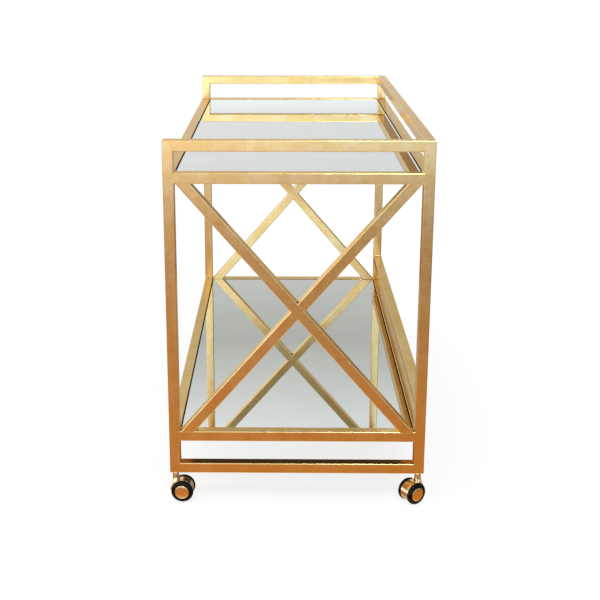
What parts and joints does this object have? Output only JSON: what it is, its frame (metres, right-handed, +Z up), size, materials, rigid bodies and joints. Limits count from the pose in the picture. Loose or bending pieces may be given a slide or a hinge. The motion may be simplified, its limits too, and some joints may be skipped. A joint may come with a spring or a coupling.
{
  "type": "bar cart",
  "caption": "Rolling bar cart: gilded square-tube frame, inset mirror shelves, crossed end braces, end handles, one-sided gallery rails and swivel twin-wheel casters.",
  "frame": {"origin": "on the floor, at the centre of the footprint", "axes": "+Z up, +Y along the length towards the rear end, +X to the right, the side with the gallery rails"},
  "size_m": [0.6114, 1.2554, 0.87],
  "materials": {
    "gold_leaf_steel": "gold leaf on welded steel tube, satin with soft square leaf seams and brushed rub-through",
    "caster_brass": "polished brass plating",
    "mirror_glass": "clear silvered mirror with a ground bevel",
    "black_board": "black painted board",
    "pad_rubber": "soft black rubber",
    "plug_plastic": "moulded black plastic",
    "bare_steel": "zinc plated steel",
    "wheel_black": "glossy black hard rubber"
  },
  "bodies": {
    "cart": {"leg_front_left": "gold_leaf_steel", "leg_front_right": "gold_leaf_steel", "leg_rear_left": "gold_leaf_steel", "leg_rear_right": "gold_leaf_steel", "handle_front": "gold_leaf_steel", "handle_rear": "gold_leaf_steel", "upper_rail_front": "gold_leaf_steel", "upper_rail_rear": "gold_leaf_steel", "upper_rail_left": "gold_leaf_steel", "upper_rail_right": "gold_leaf_steel", "lower_rail_front": "gold_leaf_steel", "lower_rail_rear": "gold_leaf_steel", "lower_rail_left": "gold_leaf_steel", "lower_rail_right": "gold_leaf_steel", "bottom_rail_front": "gold_leaf_steel", "bottom_rail_rear": "gold_leaf_steel", "gallery_rail_upper": "gold_leaf_steel", "gallery_rail_lower": "gold_leaf_steel", "brace_front_full": "gold_leaf_steel", "brace_front_half_up": "gold_leaf_steel", "brace_front_half_down": "gold_leaf_steel", "brace_rear_full": "gold_leaf_steel", "brace_rear_half_up": "gold_leaf_steel", "brace_rear_half_down": "gold_leaf_steel", "ledge_strips_upper": "gold_leaf_steel", "ledge_strips_lower": "gold_leaf_steel", "leg_plugs": "plug_plastic", "mirror_upper": "mirror_glass", "mirror_lower": "mirror_glass", "backing_board_upper": "black_board", "backing_board_lower": "black_board", "cushion_pads": "pad_rubber", "caster_front_left_stem": "bare_steel", "caster_front_right_stem": "bare_steel", "caster_rear_left_stem": "bare_steel", "caster_rear_right_stem": "bare_steel"},
    "swivel_front_left": {"caster_front_left_hood": "caster_brass", "caster_front_left_axle": "bare_steel"},
    "wheel_a_front_left": {"caster_front_left_wheel_a": "wheel_black", "caster_front_left_cap_a": "caster_brass"},
    "wheel_b_front_left": {"caster_front_left_wheel_b": "wheel_black", "caster_front_left_cap_b": "caster_brass"},
    "swivel_front_right": {"caster_front_right_hood": "caster_brass", "caster_front_right_axle": "bare_steel"},
    "wheel_a_front_right": {"caster_front_right_wheel_a": "wheel_black", "caster_front_right_cap_a": "caster_brass"},
    "wheel_b_front_right": {"caster_front_right_wheel_b": "wheel_black", "caster_front_right_cap_b": "caster_brass"},
    "swivel_rear_left": {"caster_rear_left_hood": "caster_brass", "caster_rear_left_axle": "bare_steel"},
    "wheel_a_rear_left": {"caster_rear_left_wheel_a": "wheel_black", "caster_rear_left_cap_a": "caster_brass"},
    "wheel_b_rear_left": {"caster_rear_left_wheel_b": "wheel_black", "caster_rear_left_cap_b": "caster_brass"},
    "swivel_rear_right": {"caster_rear_right_hood": "caster_brass", "caster_rear_right_axle": "bare_steel"},
    "wheel_a_rear_right": {"caster_rear_right_wheel_a": "wheel_black", "caster_rear_right_cap_a": "caster_brass"},
    "wheel_b_rear_right": {"caster_rear_right_wheel_b": "wheel_black", "caster_rear_right_cap_b": "caster_brass"}
  },
  "joints": [
    {"name": "swivel_front_left", "type": "hinge", "parent": "cart", "child": "swivel_front_left", "pos_m": [-0.2875, -0.5875, 0.06], "axis": [0, 0, 1], "continuous": true},
    {"name": "roll_a_front_left", "type": "hinge", "parent": "swivel_front_left", "child": "wheel_a_front_left", "pos_m": [-0.27056, -0.58898, 0.0265], "axis": [0.0872, 0.9962, 0], "continuous": true},
    {"name": "roll_b_front_left", "type": "hinge", "parent": "swivel_front_left", "child": "wheel_b_front_left", "pos_m": [-0.27056, -0.58898, 0.0265], "axis": [0.0872, 0.9962, 0], "continuous": true},
    {"name": "swivel_front_right", "type": "hinge", "parent": "cart", "child": "swivel_front_right", "pos_m": [0.2875, -0.5875, 0.06], "axis": [0, 0, 1], "continuous": true},
    {"name": "roll_a_front_right", "type": "hinge", "parent": "swivel_front_right", "child": "wheel_a_front_right", "pos_m": [0.27341, -0.59701, 0.0265], "axis": [0.5592, -0.829, 0], "continuous": true},
    {"name": "roll_b_front_right", "type": "hinge", "parent": "swivel_front_right", "child": "wheel_b_front_right", "pos_m": [0.27341, -0.59701, 0.0265], "axis": [0.5592, -0.829, 0], "continuous": true},
    {"name": "swivel_rear_left", "type": "hinge", "parent": "cart", "child": "swivel_rear_left", "pos_m": [-0.2875, 0.5875, 0.06], "axis": [0, 0, 1], "continuous": true},
    {"name": "roll_a_rear_left", "type": "hinge", "parent": "swivel_rear_left", "child": "wheel_a_rear_left", "pos_m": [-0.27341, 0.59701, 0.0265], "axis": [-0.5592, 0.829, 0], "continuous": true},
    {"name": "roll_b_rear_left", "type": "hinge", "parent": "swivel_rear_left", "child": "wheel_b_rear_left", "pos_m": [-0.27341, 0.59701, 0.0265], "axis": [-0.5592, 0.829, 0], "continuous": true},
    {"name": "swivel_rear_right", "type": "hinge", "parent": "cart", "child": "swivel_rear_right", "pos_m": [0.2875, 0.5875, 0.06], "axis": [0, 0, 1], "continuous": true},
    {"name": "roll_a_rear_right", "type": "hinge", "parent": "swivel_rear_right", "child": "wheel_a_rear_right", "pos_m": [0.27056, 0.58898, 0.0265], "axis": [-0.0872, -0.9962, 0], "continuous": true},
    {"name": "roll_b_rear_right", "type": "hinge", "parent": "swivel_rear_right", "child": "wheel_b_rear_right", "pos_m": [0.27056, 0.58898, 0.0265], "axis": [-0.0872, -0.9962, 0], "continuous": true}
  ]
}
